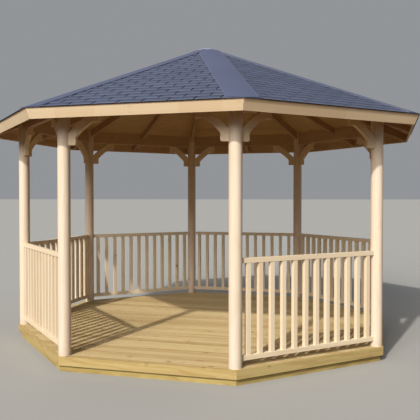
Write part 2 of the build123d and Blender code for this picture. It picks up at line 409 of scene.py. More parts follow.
def softwood_tree() -> Tree:
    """Group that grows softwood: year rings, streaks, knots with their halos, and fibre.

    Returns:
        The group, with a colour, a roughness and a height to feed the shader.
    """
    floats = ["Seed", "Contrast", "Knots", "Pith", "Spread", "Joint", "Patch"]
    inputs = {"Vector": ["Lay"], "Float": floats, "Color": ["Pale", "Deep", "Knot"]}
    outputs = {"Color": ["Colour"], "Float": ["Roughness", "Height"]}
    b, given, out = new_tree("Softwood", "ShaderNodeTree", inputs, outputs)
    seed = given["Seed"]
    member_shift = (1.93, 0.71, 0.37)
    place = given["Lay"] + b.join(*(seed * part for part in member_shift))

    # Knots, each somewhere in its own cell of the wood
    cell, squash = (0.30, 0.070, 0.070), (0.8, 1.0, 1.0)
    least, range_of_sizes, heart, halo_reach = 0.005, 0.011, 0.7, 3.4
    ragged, ragged_scale = 0.006, 90.0
    scaled = place / cell
    cells = b.put("ShaderNodeTexVoronoi", {"Vector": scaled, "Scale": 1.0})
    away = (scaled - b.tap(cells, "Position")) * cell
    away = b.math("LENGTH", away * squash) - ragged / 2
    distance = b.mad(b.noise(place, ragged_scale), ragged, away)
    luck, chance, _ = b.split(b.tap(cells, "Color"))
    size = b.mad(luck, range_of_sizes, least)
    there = b.math("LESS_THAN", chance, given["Knots"])
    knot = there * (1.0 - b.fade(distance, size * heart, size))
    halo = there * (1.0 - b.fade(distance, size, size * halo_reach))

    # Year rings round a pith that runs a little askew, bulging round the knots
    ring_wide, pith_swing, pith_sideways = 0.0075, 2.3, 0.6
    taper, waviness, swelling = 0.007, 0.030, 0.010
    along, across, into = b.split(given["Lay"])
    pith_y = b.mad(b.math("SINE", seed * pith_swing), given["Pith"] * pith_sideways, across)
    pith_z = into + given["Pith"]
    radius = b.math("SQRT", b.mad(pith_y, pith_y, pith_z * pith_z))
    warp = b.noise(place * (1.3, 9.0, 9.0), 1.0, 3.0)
    for bulge, amount in ((along, taper), (warp, waviness), (halo, swelling)):
        radius = b.mad(bulge, amount, radius)
    late = b.fade(b.math("SINE", radius * (2 * math.pi / ring_wide)), 0.1, 1.0)
    streak = b.noise(place * (0.8, 17.0, 17.0), 1.0, 3.0)
    fibre = b.noise(place * (9.0, 330.0, 330.0), 1.0, 1.0)

    # Tone from 0, pale, to 1, deep, in which members and their lengths differ
    middle, usual_streak, early_tone, base_tone = 0.5, 0.42, -0.10, 0.12
    late_tone, streak_tone, fibre_tone, halo_tone, knot_tone = 0.34, 1.5, 0.3, 0.30, 0.88
    start_step, length_step = 7.0, 5.3
    tone = b.mad(late, late_tone, early_tone)
    tone = b.mad(streak - usual_streak, streak_tone, tone)
    tone = b.mad(fibre - middle, fibre_tone, tone)
    tone = b.mad(halo, halo_tone, tone * given["Contrast"])
    tone = b.mad(b.hash(seed) - middle, given["Spread"], tone)
    start = b.mad(b.hash(seed), start_step, along)
    length = b.math("FLOOR", start / given["Joint"])
    length = b.hash(b.mad(seed, length_step, length)) - middle
    tone = b.mad(length, given["Patch"], tone) + base_tone
    grown = b.mix(b.clamp(tone), given["Pale"], given["Deep"])
    height = b.mad(late, 0.35, fibre * 0.65) - knot * 0.4
    colour = b.mix(knot * knot_tone, grown, given["Knot"])
    b.feed(out, {"Colour": colour, "Roughness": b.mad(fibre, 0.22, 0.50), "Height": height})
    return b.tree


def soiling_tree() -> Tree:
    """Group that soils a surface between two heights, patchy and stronger lower down.

    Returns:
        The group, with the soiled colour.
    """
    colours = ["Colour", "Soil"]
    inputs = {"Vector": ["Point"], "Color": colours, "Float": ["Low", "High", "Amount"]}
    b, given, out = new_tree("Soiling", "ShaderNodeTree", inputs, {"Color": ["Colour"]})
    z = b.split(given["Point"])[2]
    patch_scale, ragged = 7.0, 0.12
    patch = b.noise(given["Point"], patch_scale, 4.0)
    reach = b.mad(patch - 0.5, ragged, z)
    mask = 1.0 - b.fade(reach, given["Low"], given["High"])
    mask = mask * (given["Amount"] * b.fade(patch, 0.2, 0.75))
    b.feed(out, {"Colour": b.mix(mask, given["Colour"], given["Soil"])})
    return b.tree


def felt_tree() -> Tree:
    """Group for felt with a mineral face: coarse and fine grit over a patchy tone.

    Returns:
        The group, with a colour, a roughness and a height.
    """
    inputs = {"Vector": ["Point"], "Float": ["Tone", "Grit"], "Color": ["Dark", "Light"]}
    outputs = {"Color": ["Colour"], "Float": ["Roughness", "Height"]}
    b, given, out = new_tree("Mineral felt", "ShaderNodeTree", inputs, outputs)
    scales = ((420.0, 2.0), (60.0, 3.0), (1.7, 4.0))
    grit, coarse, cloud = (b.noise(given["Point"], scale, detail) for scale, detail in scales)
    value = given["Tone"]
    for grain, amount in ((grit, given["Grit"]), (coarse, 0.35), (cloud, 0.5)):
        value = b.mad(grain - 0.5, amount, value)
    colour = b.mix(b.clamp(value), given["Dark"], given["Light"])
    roughness, height = b.mad(grit, 0.2, 0.68), b.mad(coarse, 0.5, grit)
    b.feed(out, {"Colour": colour, "Roughness": roughness, "Height": height})
    return b.tree


@dataclass(frozen=True)
class Effects:
    """The shared effects, each built once."""

    lay: Tree = field(default_factory=lay_tree)
    softwood: Tree = field(default_factory=softwood_tree)
    soiling: Tree = field(default_factory=soiling_tree)
    felt: Tree = field(default_factory=felt_tree)


# Finishes


@dataclass(frozen=True)
class Run:
    """How the members of one kind lie round the gazebo, for the grain to follow them."""

    along: Triple
    across: Triple
    into: Triple
    half_turn: float = 0.0
    fold: float = 0.0
    centre: Triple = (0.0, 0.0, 0.0)


def raking(pitch: float, half_turn: float) -> Run:
    """The run of rafters that climb inward at a pitch."""
    cos, sin = math.cos(pitch), math.sin(pitch)
    return Run((0, -cos, sin), (0, sin, cos), (1, 0, 0), half_turn)


class Lie(Enum):
    """Ways that the timber lies."""

    SIDE = Run((1, 0, 0), (0, 0, 1), (0, 1, 0))
    POST = Run((0, 0, 1), (1, 0, 0), (0, 1, 0), 0.5, 0.0, (0.0, PLAN.post_circle, 0.0))
    HIP = raking(PLAN.hip_pitch, 0.5)
    RAFTER = raking(PLAN.pitch, 0.0)
    BRACE = Run((-0.78, 0, 0.63), (0.63, 0, 0.78), (0, 1, 0), 0.0, 1.0)
    RAILING = "railing"
    JOIST = "joist"
    CROWN = "crown"
    BOARD = "board"


@dataclass(frozen=True)
class Soil:
    """Where a timber is soiled, and how strongly."""

    low: float
    high: float
    amount: float
    soil: Triple = shade(92, 78, 52)


@dataclass(frozen=True)
class Grain:
    """How a softwood has grown: its colours, rings and knots, and how its lengths differ."""

    pale: Triple
    deep: Triple
    knot: Triple
    contrast: float
    knots: float
    pith: float
    spread: float
    joint: float = 0.4
    patch: float = 0.0


def as_feeds(source: Run | Soil | Grain) -> Feeds:
    """The fields as a group's inputs, which have the same names in words."""
    return {name.replace("_", " ").capitalize(): value for name, value in asdict(source).items()}


@dataclass(frozen=True)
class Timber:
    """A bare softwood finish."""

    name: str
    grain: Grain
    relief: float = 0.25
    soil: Soil | None = None
    # Height below which the grooves get painted shade, how strong it is, and its colour
    groove_below: float | None = None
    groove_dark: float = 0.55
    groove_colour: Triple = shade(70, 54, 30)
    fibre_height: float = 0.0006
    gloss: float = 0.32
    member_step: float = 3.17

    def place(self, b: Bench, effects: Effects, lie: Lie, point: Value) -> tuple[Value, Feed]:
        """Finds the place along the grain, and a number for the member.

        Args:
            b: The bench of the material.
            effects: The shared effects.
            lie: How the members lie.
            point: The point on the object.

        Returns:
            The place and the number.
        """
        if lie is Lie.BOARD:
            board_step, side_step = 61.0, 4.7
            number = b.mad(b.attribute("tone"), board_step, b.attribute("side") * side_step)
            return b.attribute("lay", "Vector"), number
        if lie in (Lie.JOIST, Lie.CROWN):
            x, y, z = b.split(point)
            if lie is Lie.CROWN:
                return b.join(z, x, y), 3.0
            return b.join(y, z, x), b.math("ROUND", x / PLAN.joist_pitch)
        run = Lie.SIDE.value if lie is Lie.RAILING else lie.value
        found = b.group(effects.lay, {"Point": point, **as_feeds(run)})
        if lie is Lie.RAILING:
            return self.railing_place(b, found["Lay"], found["Member"])
        return found["Lay"], found["Member"]

    @staticmethod
    def railing_place(b: Bench, lay: Value, member: Value) -> tuple[Value, Value]:
        """Turns the grain upright on the balusters and numbers each of them.

        Args:
            b: The bench of the material.
            lay: The place along the rails.
            member: The side's number.

        Returns:
            The place and the number.
        """
        skin, middle_height = 0.0003, 0.7
        rail_step, stick_step, stick_shift = 0.57, 0.83, 0.31
        along, height, into = b.split(lay)
        low = b.math("GREATER_THAN", height, PLAN.floor_z + PLAN.bottom_rail_top + skin)
        upright = low * b.math("LESS_THAN", height, PLAN.floor_z + PLAN.top_rail_low - skin)
        baluster = b.math("ROUND", along / PLAN.baluster_pitch + 0.5)
        stick = b.join(height, b.mad(baluster, stick_shift, along), into)
        rail = member + b.math("GREATER_THAN", height, middle_height) * rail_step
        number = b.mix(upright, rail, b.mad(baluster, stick_step, member), "FLOAT")
        return b.mix(upright, lay, stick, "VECTOR"), number

    def make(self, effects: Effects, lie: Lie, seed: float = 0.0) -> Material:
        """Makes the material.

        Args:
            effects: The shared effects.
            lie: How the members lie.
            seed: Moves the grain and the knots elsewhere.

        Returns:
            The material.
        """
        material, b, shader = blank_material(self.name)
        point = b.point()
        place, number = self.place(b, effects, lie, point)
        own_seed = b.mad(number, self.member_step, seed)
        feeds = {"Lay": place, "Seed": own_seed, **as_feeds(self.grain)}
        wood = b.group(effects.softwood, feeds)
        # Painted shade: faces below the groove height, the groove floors and the sunk board edges, are
        # darkened
        if self.groove_below is not None:
            groove = b.math("LESS_THAN", b.split(point)[2], self.groove_below) * self.groove_dark
            wood["Colour"] = b.mix(groove, wood["Colour"], self.groove_colour)
        if self.soil:
            feeds = {"Point": point, "Colour": wood["Colour"], **as_feeds(self.soil)}
            wood |= b.group(effects.soiling, feeds)
        dress_shader(b, shader, wood, (self.relief, self.fibre_height), self.gloss)
        return material


@dataclass(frozen=True)
class Felt:
    """A roofing felt with a mineral face."""

    name: str
    dark: Triple
    light: Triple
    grit: float
    tab: float = 0.0
    exposure: float = 0.0
    # Colour of the painted highlight along the tabs' lower edges and along the hip strips' cut edges
    edge: Triple = shade(150, 154, 170)
    # Colour, reach and width of the painted shadow under the next course and beside the slots, and how
    # softly it fades in
    shadow: Triple = shade(22, 24, 34)
    shadow_reach: float = 0.034
    slot_shadow: float = 0.012
    soft: float = 0.002
    # Where the painted highlight along each tab's lower edge starts and ends fading
    butt: tuple[float, float] = (0.004, 0.018)
    relief: tuple[float, float] = (0.35, 0.0008)
    gloss: float = 0.4

    def make(self, effects: Effects) -> Material:
        """Makes the material; tabs get painted shadow under the next course and by their slots and a
        painted highlight along their lower edges, and plain felt a painted highlight along its rim.

        Args:
            effects: The shared effects.

        Returns:
            The material.
        """
        material, b, shader = blank_material(self.name)
        tone: Feed = 0.5
        if self.tab:
            tab_step, side_step = 41.0, 3.3
            number = b.mad(b.attribute("tone"), tab_step, b.attribute("side") * side_step)
            tone = b.mad(b.hash(number), 0.30, 0.35)
        feeds = {"Dark": self.dark, "Light": self.light, "Grit": self.grit}
        felt = b.group(effects.felt, {"Point": b.point(), "Tone": tone, **feeds})
        if self.tab:
            across, up, _ = b.split(b.attribute("lay", "Vector"))
            across, half = b.math("ABSOLUTE", across), self.tab / 2
            # Painted shadow: the top of each tab's exposure, just under the next course, and its sides
            # by the slots are darkened
            band = b.fade(up, self.exposure - self.shadow_reach, self.exposure - self.soft)
            side = b.fade(across, half - self.slot_shadow, half - self.soft)
            shadow = b.math("MAXIMUM", band * 0.80, side * 0.6)
            colour = b.mix(shadow, felt["Colour"], self.shadow)
            # Painted highlight: each tab's lower edge is lightened, as where light catches it
            butt = 1.0 - b.fade(up, *self.butt)
            felt["Colour"] = b.mix(butt * 0.55, colour, self.edge)
        else:
            # Painted highlight along the hip strips' cut edges, where the mesh carries a rim of 1
            felt["Colour"] = b.mix(b.attribute("rim") * 0.3, felt["Colour"], self.edge)
        dress_shader(b, shader, felt, self.relief, self.gloss)
        return material


@dataclass(frozen=True)
class Steel:
    """Zinc-plated screw heads with a little tarnish."""

    name: str = "Plated steel"
    bright: Triple = shade(226, 204, 158)
    dull: Triple = shade(176, 148, 104)

    def make(self) -> Material:
        """Makes the material.

        Returns:
            The material.
        """
        material, b, shader = blank_material(self.name)
        tarnish = b.noise(b.point(), 260.0, 3.0)
        colour = b.mix(tarnish, self.bright, self.dull)
        feeds = {"Base Color": colour, "Roughness": b.mad(tarnish, 0.35, 0.38), "Metallic": 0.6}
        b.feed(shader, feeds)
        return material


def blank_material(name: str) -> tuple[Material, Bench, Node]:
    """Starts a material.

    Args:
        name: The material's name.

    Returns:
        The material, a bench for its nodes, and its shader.
    """
    material = bpy.data.materials.new(name)
    material.use_nodes = True
    return material, Bench(material.node_tree), material.node_tree.nodes["Principled BSDF"]


def dress_shader(
    b: Bench, shader: Node, look: dict[str, Value], relief: tuple[float, float], gloss: float
) -> None:
    """Feeds an effect into a shader.

    Args:
        b: The bench of the material.
        shader: The shader.
        look: The effect's colour, roughness and height.
        relief: How strong its bumps are, and how high.
        gloss: The specular level.
    """
    feeds = {"Height": look["Height"], "Strength": relief[0], "Distance": relief[1]}
    normal = b.get("ShaderNodeBump", feeds)
    feeds = {"Base Color": look["Colour"], "Roughness": look["Roughness"]}
    b.feed(shader, {**feeds, "Normal": normal, "Specular IOR Level": gloss})


# Node trees for what repeats


def face_tree(name: str, sizes: list[str], counts: list[str]) -> Start:
    """Starts a tree that covers faces of the gazebo.

    Args:
        name: The tree's name.
        sizes: Inputs for lengths that it has besides the usual ones.
        counts: Inputs for whole numbers that it has besides the usual ones.

    Returns:
        The bench for the tree, its inputs by name, and its output node.
    """
    usual = ["Half width", "Grade", "Lean", "Cap", "Limit", "Tilt", "First"]
    inputs = {"Geometry": ["Geometry"], "Float": usual + sizes, "Vector": ["Eave"]}
    inputs |= {"Int": ["Sides", "Seed"] + counts, "Material": ["Material"]}
    return new_tree(name, "GeometryNodeTree", inputs, {"Geometry": ["Geometry"]})


def cut_and_turn(b: Bench, given: dict[str, Value], laid: Value, half: Value) -> Value:
    """Trims laid pieces to the face's outline, tilts them and repeats them round the gazebo.

    Args:
        b: The bench of the tree.
        given: The tree's inputs.
        laid: The realised pieces on the flat face.
        half: The half width of the face at each point.

    Returns:
        The finished geometry.
    """
    x, y, z = b.position()
    x = b.math("MINIMUM", b.math("MAXIMUM", x, half * -1.0), half)
    placed = b.join(x, b.math("MINIMUM", y, given["Limit"]), z)
    cut = b.get("GeometryNodeSetPosition", {"Geometry": laid, "Position": placed})
    merge = 0.0007
    feeds = {"Geometry": cut, "Distance": merge}
    cut = b.get("GeometryNodeMergeByDistance", feeds, mode="CONNECTED")
    tilt = b.join(given["Tilt"], 0.0, 0.0)
    feeds = {"Geometry": cut, "Translation": given["Eave"], "Rotation": tilt}
    face = b.get("GeometryNodeTransform", feeds)
    spots = b.get("GeometryNodePoints", {"Count": given["Sides"]})
    index = b.get("GeometryNodeInputIndex", {})
    ring = b.spread(spots, face, b.join(0.0, 0.0, index * PLAN.step))
    whole = b.realize(b.store(ring, "side", index, "INSTANCE"))
    return b.finish(whole, given["Material"])


def half_width(b: Bench, given: dict[str, Value]) -> Value:
    """Half the width of a face at each point, which falls up the face and keeps under a cap.

    Args:
        b: The bench of the tree.
        given: The tree's inputs.

    Returns:
        The half width.
    """
    _, y, z = b.position()
    half = given["Half width"] - b.math("ABSOLUTE", y) * given["Grade"]
    half = b.mad(z, given["Lean"], half)
    return b.math("MAXIMUM", b.math("MINIMUM", half, given["Cap"]), 0.0)


def boards_tree() -> Tree:
    """Tree that lays one board again and again across a face and cuts it to the outline.

    Returns:
        The tree. The incoming board is one unit long each way, and gets its real length here.
    """
    b, given, out = face_tree("Laid boards", ["Pitch"], ["Boards"])
    start, offset = (b.join(0.0, given[name], 0.0) for name in ("First", "Pitch"))
    feeds = {"Count": given["Boards"], "Start Location": start, "Offset": offset}
    rows = b.get("GeometryNodeMeshLine", feeds, mode="OFFSET")
    index = b.get("GeometryNodeInputIndex", {})
    tone = b.random({"ID": index, "Seed": given["Seed"]})
    laid = b.spread(rows, given["Geometry"])
    laid = b.realize(b.store(laid, "tone", tone, "INSTANCE"))
    half = half_width(b, given)
    x, y, z = b.position()
    laid = b.store(laid, "lay", b.join(x * half, y, z), "POINT", "FLOAT_VECTOR")
    past_any_face = 10.0
    feeds = {"Geometry": laid, "Position": b.join(x * past_any_face, y, z)}
    laid = b.get("GeometryNodeSetPosition", feeds)
    b.feed(out, {"Geometry": cut_and_turn(b, given, laid, half)})
    return b.tree


def courses_tree() -> Tree:
    """Tree that lays shingle tabs in courses, every other course set over by half a tab.

    Returns:
        The tree. The incoming tab lies on its course line.
    """
    sizes = ["Tab", "Exposure", "Least"]
    b, given, out = face_tree("Shingle courses", sizes, ["Courses", "Tabs"])
    tab, tabs = given["Tab"], given["Tabs"]
    index = b.get("GeometryNodeInputIndex", {})
    course = b.math("FLOOR", (index + 0.5) / tabs)
    column = index - course * tabs
    bond = b.math("MODULO", course, 2.0) / 2.0
    x = (column - tabs / 2.0 + bond) * tab
    y = b.mad(course, given["Exposure"], given["First"])
    feeds = {"Count": given["Courses"] * tabs, "Position": b.join(x, y, 0.0)}
    spots = b.get("GeometryNodePoints", feeds)
    reach = b.mad(tab, 0.5, half_width(b, given)) - given["Least"]
    outside = b.math("GREATER_THAN", b.math("ABSOLUTE", b.position()[0]), reach)
    feeds = {"Geometry": spots, "Selection": outside}
    spots = b.get("GeometryNodeDeleteGeometry", feeds, domain="POINT")
    tone = b.random({"ID": index, "Seed": given["Seed"]})
    most_slew = 0.006
    slew = b.join(0.0, 0.0, (tone - 0.5) * most_slew)
    laid = b.spread(spots, given["Geometry"], slew)
    laid = b.realize(b.store(laid, "tone", tone, "INSTANCE"))
    b.feed(out, {"Geometry": cut_and_turn(b, given, laid, half_width(b, given))})
    return b.tree


def fixings_tree() -> Tree:
    """Tree that drives a screw at every point of another object, facing as the point says.

    Returns:
        The tree. The incoming geometry is one screw head that faces up.
    """
    inputs = {"Geometry": ["Geometry"], "Object": ["Places"], "Material": ["Material"], "Int": ["Seed"]}
    outputs = {"Geometry": ["Geometry"]}
    b, given, out = new_tree("Driven screws", "GeometryNodeTree", inputs, outputs)
    spots = b.get("GeometryNodeObjectInfo", {"Object": given["Places"]}, "Geometry")
    kind = "GeometryNodeInputNamedAttribute"
    facing = b.get(kind, {"Name": "facing"}, data_type="FLOAT_VECTOR")
    spin = b.join(0.0, 0.0, b.random({"Max": math.pi, "Seed": given["Seed"]}))
    feeds = {"Rotation": spin, "Vector": facing}
    turn = b.get("FunctionNodeAlignRotationToVector", feeds, axis="Z")
    driven = b.realize(b.spread(spots, given["Geometry"], turn))
    b.feed(out, {"Geometry": b.finish(driven, given["Material"])})
    return b.tree


# Making pieces


def new_piece(name: str, points: Sequence, faces: Sequence[Sequence[int]]) -> Piece:
    """Makes an object from points and faces, in place.

    Args:
        name: The piece's name.
        points: Its corners.
        faces: Corner numbers of each face.

    Returns:
        The object, linked into the scene.
    """
    mesh = bpy.data.meshes.new(name)
    mesh.from_pydata([tuple(p) for p in points], [], faces)
    mesh.update()
    piece = bpy.data.objects.new(name, mesh)
    bpy.context.scene.collection.objects.link(piece)
    return piece


def run_tree(piece: Piece, tree: Tree, values: dict[str, object]) -> None:
    """Runs a geometry tree on a piece and keeps the result as its plain mesh.

    Args:
        piece: The object that goes into the tree.
        tree: The tree.
        values: Input name to value.
    """
    modifier = piece.modifiers.new(tree.name, "NODES")
    modifier.node_group = tree
    names = {s.name: s.identifier for s in tree.interface.items_tree if s.in_out == "INPUT"}
    for name, value in values.items():
        modifier[names[name]] = value
    graph = bpy.context.evaluated_depsgraph_get()
    mesh = bpy.data.meshes.new_from_object(
        piece.evaluated_get(graph), preserve_all_data_layers=True, depsgraph=graph
    )
    piece.modifiers.clear()
    piece.data = mesh
    mesh.name = piece.name


def prism(outline: Outline) -> Form:
    """A bar from -1 to 1 along x with a closed section.

    Args:
        outline: The section's corners in y and z, in order.

    Returns:
        Its points and faces.
    """
    count = len(outline)
    points = [Vector((x, y, z)) for x in (-1.0, 1.0) for y, z in outline]
    faces = [[i, (i + 1) % count, (i + 1) % count + count, i + count] for i in range(count)]
    return points, faces + [list(range(count))[::-1], list(range(count, 2 * count))]


def ridged_bar(upper: Outline, low: float) -> Form:
    """A bar from -1 to 1 along x, shaped above and flat below, in strips side by side.

    Args:
        upper: The upper face's corners in y and z, from one edge to the other.
        low: The height of the lower face.

    Returns:
        Its points and faces.
    """
    count = len(upper)
    size = 2 * count
    section = upper + [(y, low) for y, _ in upper]
    points = [Vector((x, y, z)) for x in (-1.0, 1.0) for y, z in section]
    faces = []
    for i in range(count - 1):
        for a, c in ((i, i + 1), (count + i, count + i + 1)):
            faces.append([a, c, c + size, a + size])
        for end in (0, size):
            faces.append([end + n for n in (i, i + 1, count + i + 1, count + i)])
    for a, c in ((0, count), (count - 1, size - 1)):
        faces.append([a, c, c + size, a + size])
    return points, faces


def shell(rows: list[list[Vector]], backs: list[list[Vector]]) -> Form:
    """A closed shell between a front and a back grid of the same size.

    Args:
        rows: The front grid's points, row by row.
        backs: The back grid's points.

    Returns:
        Its points and faces.
    """
    high, wide = len(rows), len(rows[0])
    size = high * wide
    points = [p for grid in (rows, backs) for row in grid for p in row]
    faces = []
    for i in range(high - 1):
        for j in range(wide - 1):
            a = i * wide + j
            faces.append([a, a + 1, a + wide + 1, a + wide])
            faces.append([size + n for n in (a + wide, a + wide + 1, a + 1, a)])
    rim = list(range(wide)) + [i * wide + wide - 1 for i in range(1, high)]
    rim += [(high - 1) * wide + j for j in range(wide - 2, -1, -1)]
    rim += [i * wide for i in range(high - 2, 0, -1)]
    faces += [[a, size + a, size + c, c] for a, c in zip(rim, rim[1:] + rim[:1])]
    return points, faces


def gather(forms: Sequence[Form]) -> Form:
    """Puts several shells together.

    Args:
        forms: The points and faces of each.

    Returns:
        All points and faces as one set.
    """
    points, faces = [], []
    for some, more in forms:
        faces += [[n + len(points) for n in face] for face in more]
        points += some
    return points, faces


def tidy_normals(piece: Piece, merge: float = 0.00005) -> None:
    """Merges doubled corners and turns all faces outwards.

    Args:
        piece: The piece.
        merge: How close two corners are when they count as one.
    """
    work = bmesh.new()
    work.from_mesh(piece.data)
    bmesh.ops.remove_doubles(work, verts=work.verts, dist=merge)
    bmesh.ops.recalc_face_normals(work, faces=work.faces)
    work.to_mesh(piece.data)
    work.free()
    piece.data.update()


# Sub-assemblies


@dataclass
class SubAssembly:
    """What a sub-assembly is given: its finish, and the tree that repeats its members."""

    finish: Material
    tree: Tree | None = None


@dataclass
class Deck(SubAssembly):
    """The boarded floor: grooved boards parallel to the entrance, cut to the octagon."""

    boards: int = 34
    front_strip: float = 0.048
    gap: float = 0.007
    thick: float = 0.028
    grooves: int = 6
    groove_wide: float = 0.006
    groove_deep: float = 0.0025
    chamfer: float = 0.003
    end_inset: float = 0.0006
    corner_inset: float = 0.0008
    seed: int = 11

    @property
    def pitch(self) -> float:
        """Distance from board to board."""
        return (2 * PLAN.deck_apothem - self.front_strip) / self.boards

    @property
    def first(self) -> float:
        """Where the first full board starts, behind the narrow one."""
        return self.front_strip - PLAN.deck_apothem

    def section(self, pitch: float, grooves: int) -> Outline:
        """The upper face of one board in section, with its grooves.

        Args:
            pitch: The board's width with its gap.
            grooves: How many grooves it has.

        Returns:
            The upper corners, from one edge to the other.
        """
        wide = pitch - self.gap
        left = self.gap / 2
        half = self.groove_wide / 2
        outline = [(left + wide, -self.chamfer), (left + wide - self.chamfer, 0.0)]
        step = (wide - 2 * self.chamfer) / grooves
        for i in reversed(range(grooves)):
            middle = left + self.chamfer + (i + 0.5) * step
            for out, z in ((1, 0.0), (0.5, -self.groove_deep), (-0.5, -self.groove_deep), (-1, 0.0)):
                outline.append((middle + half * out, z))
        return outline + [(left + self.chamfer, 0.0), (left, -self.chamfer)]

    def lay(self, name: str, outline: Outline, count: int, first: float) -> Piece:
        """Lays a run of like boards.

        Args:
            name: The piece's name.
            outline: The section of one board.
            count: How many boards.
            first: Where the first one starts.

        Returns:
            The piece.
        """
        piece = new_piece(name, *ridged_bar(outline, -self.thick))
        tidy_normals(piece)
        values = {
            "Boards": count,
            "Pitch": self.pitch,
            "First": first,
            "Half width": PLAN.deck_apothem * math.sqrt(2) - self.corner_inset,
            "Grade": 1.0,
            "Cap": PLAN.deck_apothem - self.end_inset,
            "Limit": FAR,
            "Eave": (0.0, 0.0, PLAN.floor_z),
            "Sides": 1,
            "Seed": self.seed + count,
            "Material": self.finish,
        }
        run_tree(piece, self.tree, values)
        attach(piece, "root")
        return piece

    def build(self) -> Piece:
        """Lays the narrow board at the entrance and the full boards.

        Returns:
            The piece with the full boards.
        """
        narrow = self.section(self.front_strip, 2)
        self.lay("deck_front_strip", narrow, 1, -PLAN.deck_apothem)
        full = self.section(self.pitch, self.grooves)
        piece = self.lay("deck_boards", full, self.boards, self.first)
        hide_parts("deck_floor")
        return piece


@dataclass
class RoofBoarding(SubAssembly):
    """Tongued and grooved boards under the felt, each with a V groove on its lower face."""

    boards: int = 26
    first: float = 0.020
    thick: float = 0.019
    vee: float = 0.004
    joint: float = 0.0002
    end_inset: float = 0.0006
    seed: int = 5

    def build(self) -> Piece:
        """Lays the boards on all eight faces.

        Returns:
            The piece.
        """
        pitch = (PLAN.top - self.first) / self.boards
        low, end = -self.thick, pitch - self.joint
        outline = [(self.joint, low + self.vee), (self.vee, low), (pitch - self.vee, low)]
        outline += [(end, low + self.vee), (end, 0.0), (self.joint, 0.0)]
        piece = new_piece("roof_boarding", *prism(outline))
        values = {
            "Boards": self.boards,
            "Pitch": pitch,
            "First": self.first,
            "Half width": PLAN.half_width(0.0) - self.end_inset,
            "Seed": self.seed,
            "Material": self.finish,
        }
        run_tree(piece, self.tree, PLAN.roof_values | values)
        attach(piece, "root")
        sides = ("front", "front_right", "right", "back_right")
        sides += ("back", "back_left", "left", "front_left")
        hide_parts(*("roof_panel_" + side for side in sides))
        return piece


@dataclass
class StarterSheet(SubAssembly):
    """The felt sheet that shows in the slots between tabs and as the drip edge."""

    thick: float = 0.0014
    under: float = 0.0002
    short: float = 0.010

    def build(self) -> Piece:
        """Lays a sheet on all eight faces.

        Returns:
            The piece.
        """
        forms = []
        for side in range(PLAN.sides):
            turn = PLAN.roof_frame(side)
            grids = []
            for z in (self.thick, self.under):
                rows = []
                for y in (-PLAN.drip, 0.02, PLAN.top / 2, PLAN.top):
                    half = PLAN.half_width(y, z) - self.short
                    rows.append([turn @ Vector((x * half, y, z)) for x in (-1, -0.5, 0, 0.5, 1)])
                grids.append(rows)
            forms.append(shell(*grids))
        piece = new_piece("starter_sheet", *gather(forms))
        tidy_normals(piece)
        piece.data.materials.append(self.finish)
        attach(piece, "root")
        return piece


@dataclass
class Shingles(SubAssembly):
    """Felt shingles in half bond, which stop under the hip strips."""

    tab: float = 0.228
    slot: float = 0.008
    exposure: float = 0.106
    thick: float = 0.0028
    clip: float = 0.004
    least: float = 0.045
    short: float = 0.105
    top_inset: float = 0.010
    tabs: int = 12
    lift: tuple[float, ...] = (0.0, 0.0, 0.0005, 0.0, 0.0004, 0.0)
    seed: int = 3

    @property
    def half(self) -> float:
        """Half the width that the tabs cover at the eave."""
        return PLAN.half_width(0.0) - self.short

    @property
    def reach(self) -> float:
        """How far up the slope the tabs run, to where the hip strips meet over them."""
        return self.half / PLAN.grade - self.top_inset

    def one_tab(self) -> Piece:
        """Makes one tab on its course line, as it rests on the course below, slightly wavy.

        Returns:
            The tab.
        """
        half = (self.tab - self.slot) / 2
        length = 2 * self.exposure
        columns = (-half, -half + self.clip, -half / 3, half / 3, half - self.clip, half)
        fronts, backs = [], []
        for y in (0.0, self.exposure, length - 0.002):
            rest = 1 - y / length
            sheet = StarterSheet.thick
            lows = [sheet + 2 * self.thick * rest + rise * rest for rise in self.lift]
            fronts.append([Vector((x, y, low + self.thick)) for x, low in zip(columns, lows)])
            backs.append([Vector((x, y, low)) for x, low in zip(columns, lows)])
        piece = new_piece("shingles", *shell(fronts, backs))
        lay = piece.data.attributes.new("lay", "FLOAT_VECTOR", "POINT")
        for i, vertex in enumerate(piece.data.vertices):
            lay.data[i].vector = vertex.co
        return piece

    def build(self) -> Piece:
        """Lays the courses on all eight faces.

        Returns:
            The piece.
        """
        piece = self.one_tab()
        values = {
            "Courses": int((self.reach + PLAN.drip) / self.exposure),
            "Tabs": self.tabs,
            "Tab": self.tab,
            "Exposure": self.exposure,
            "First": -PLAN.drip,
            "Least": self.least,
            "Half width": self.half,
            "Limit": self.reach,
            "Seed": self.seed,
            "Material": self.finish,
        }
        run_tree(piece, self.tree, PLAN.roof_values | values)
        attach(piece, "root")
        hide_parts("roof_covering")
        return piece


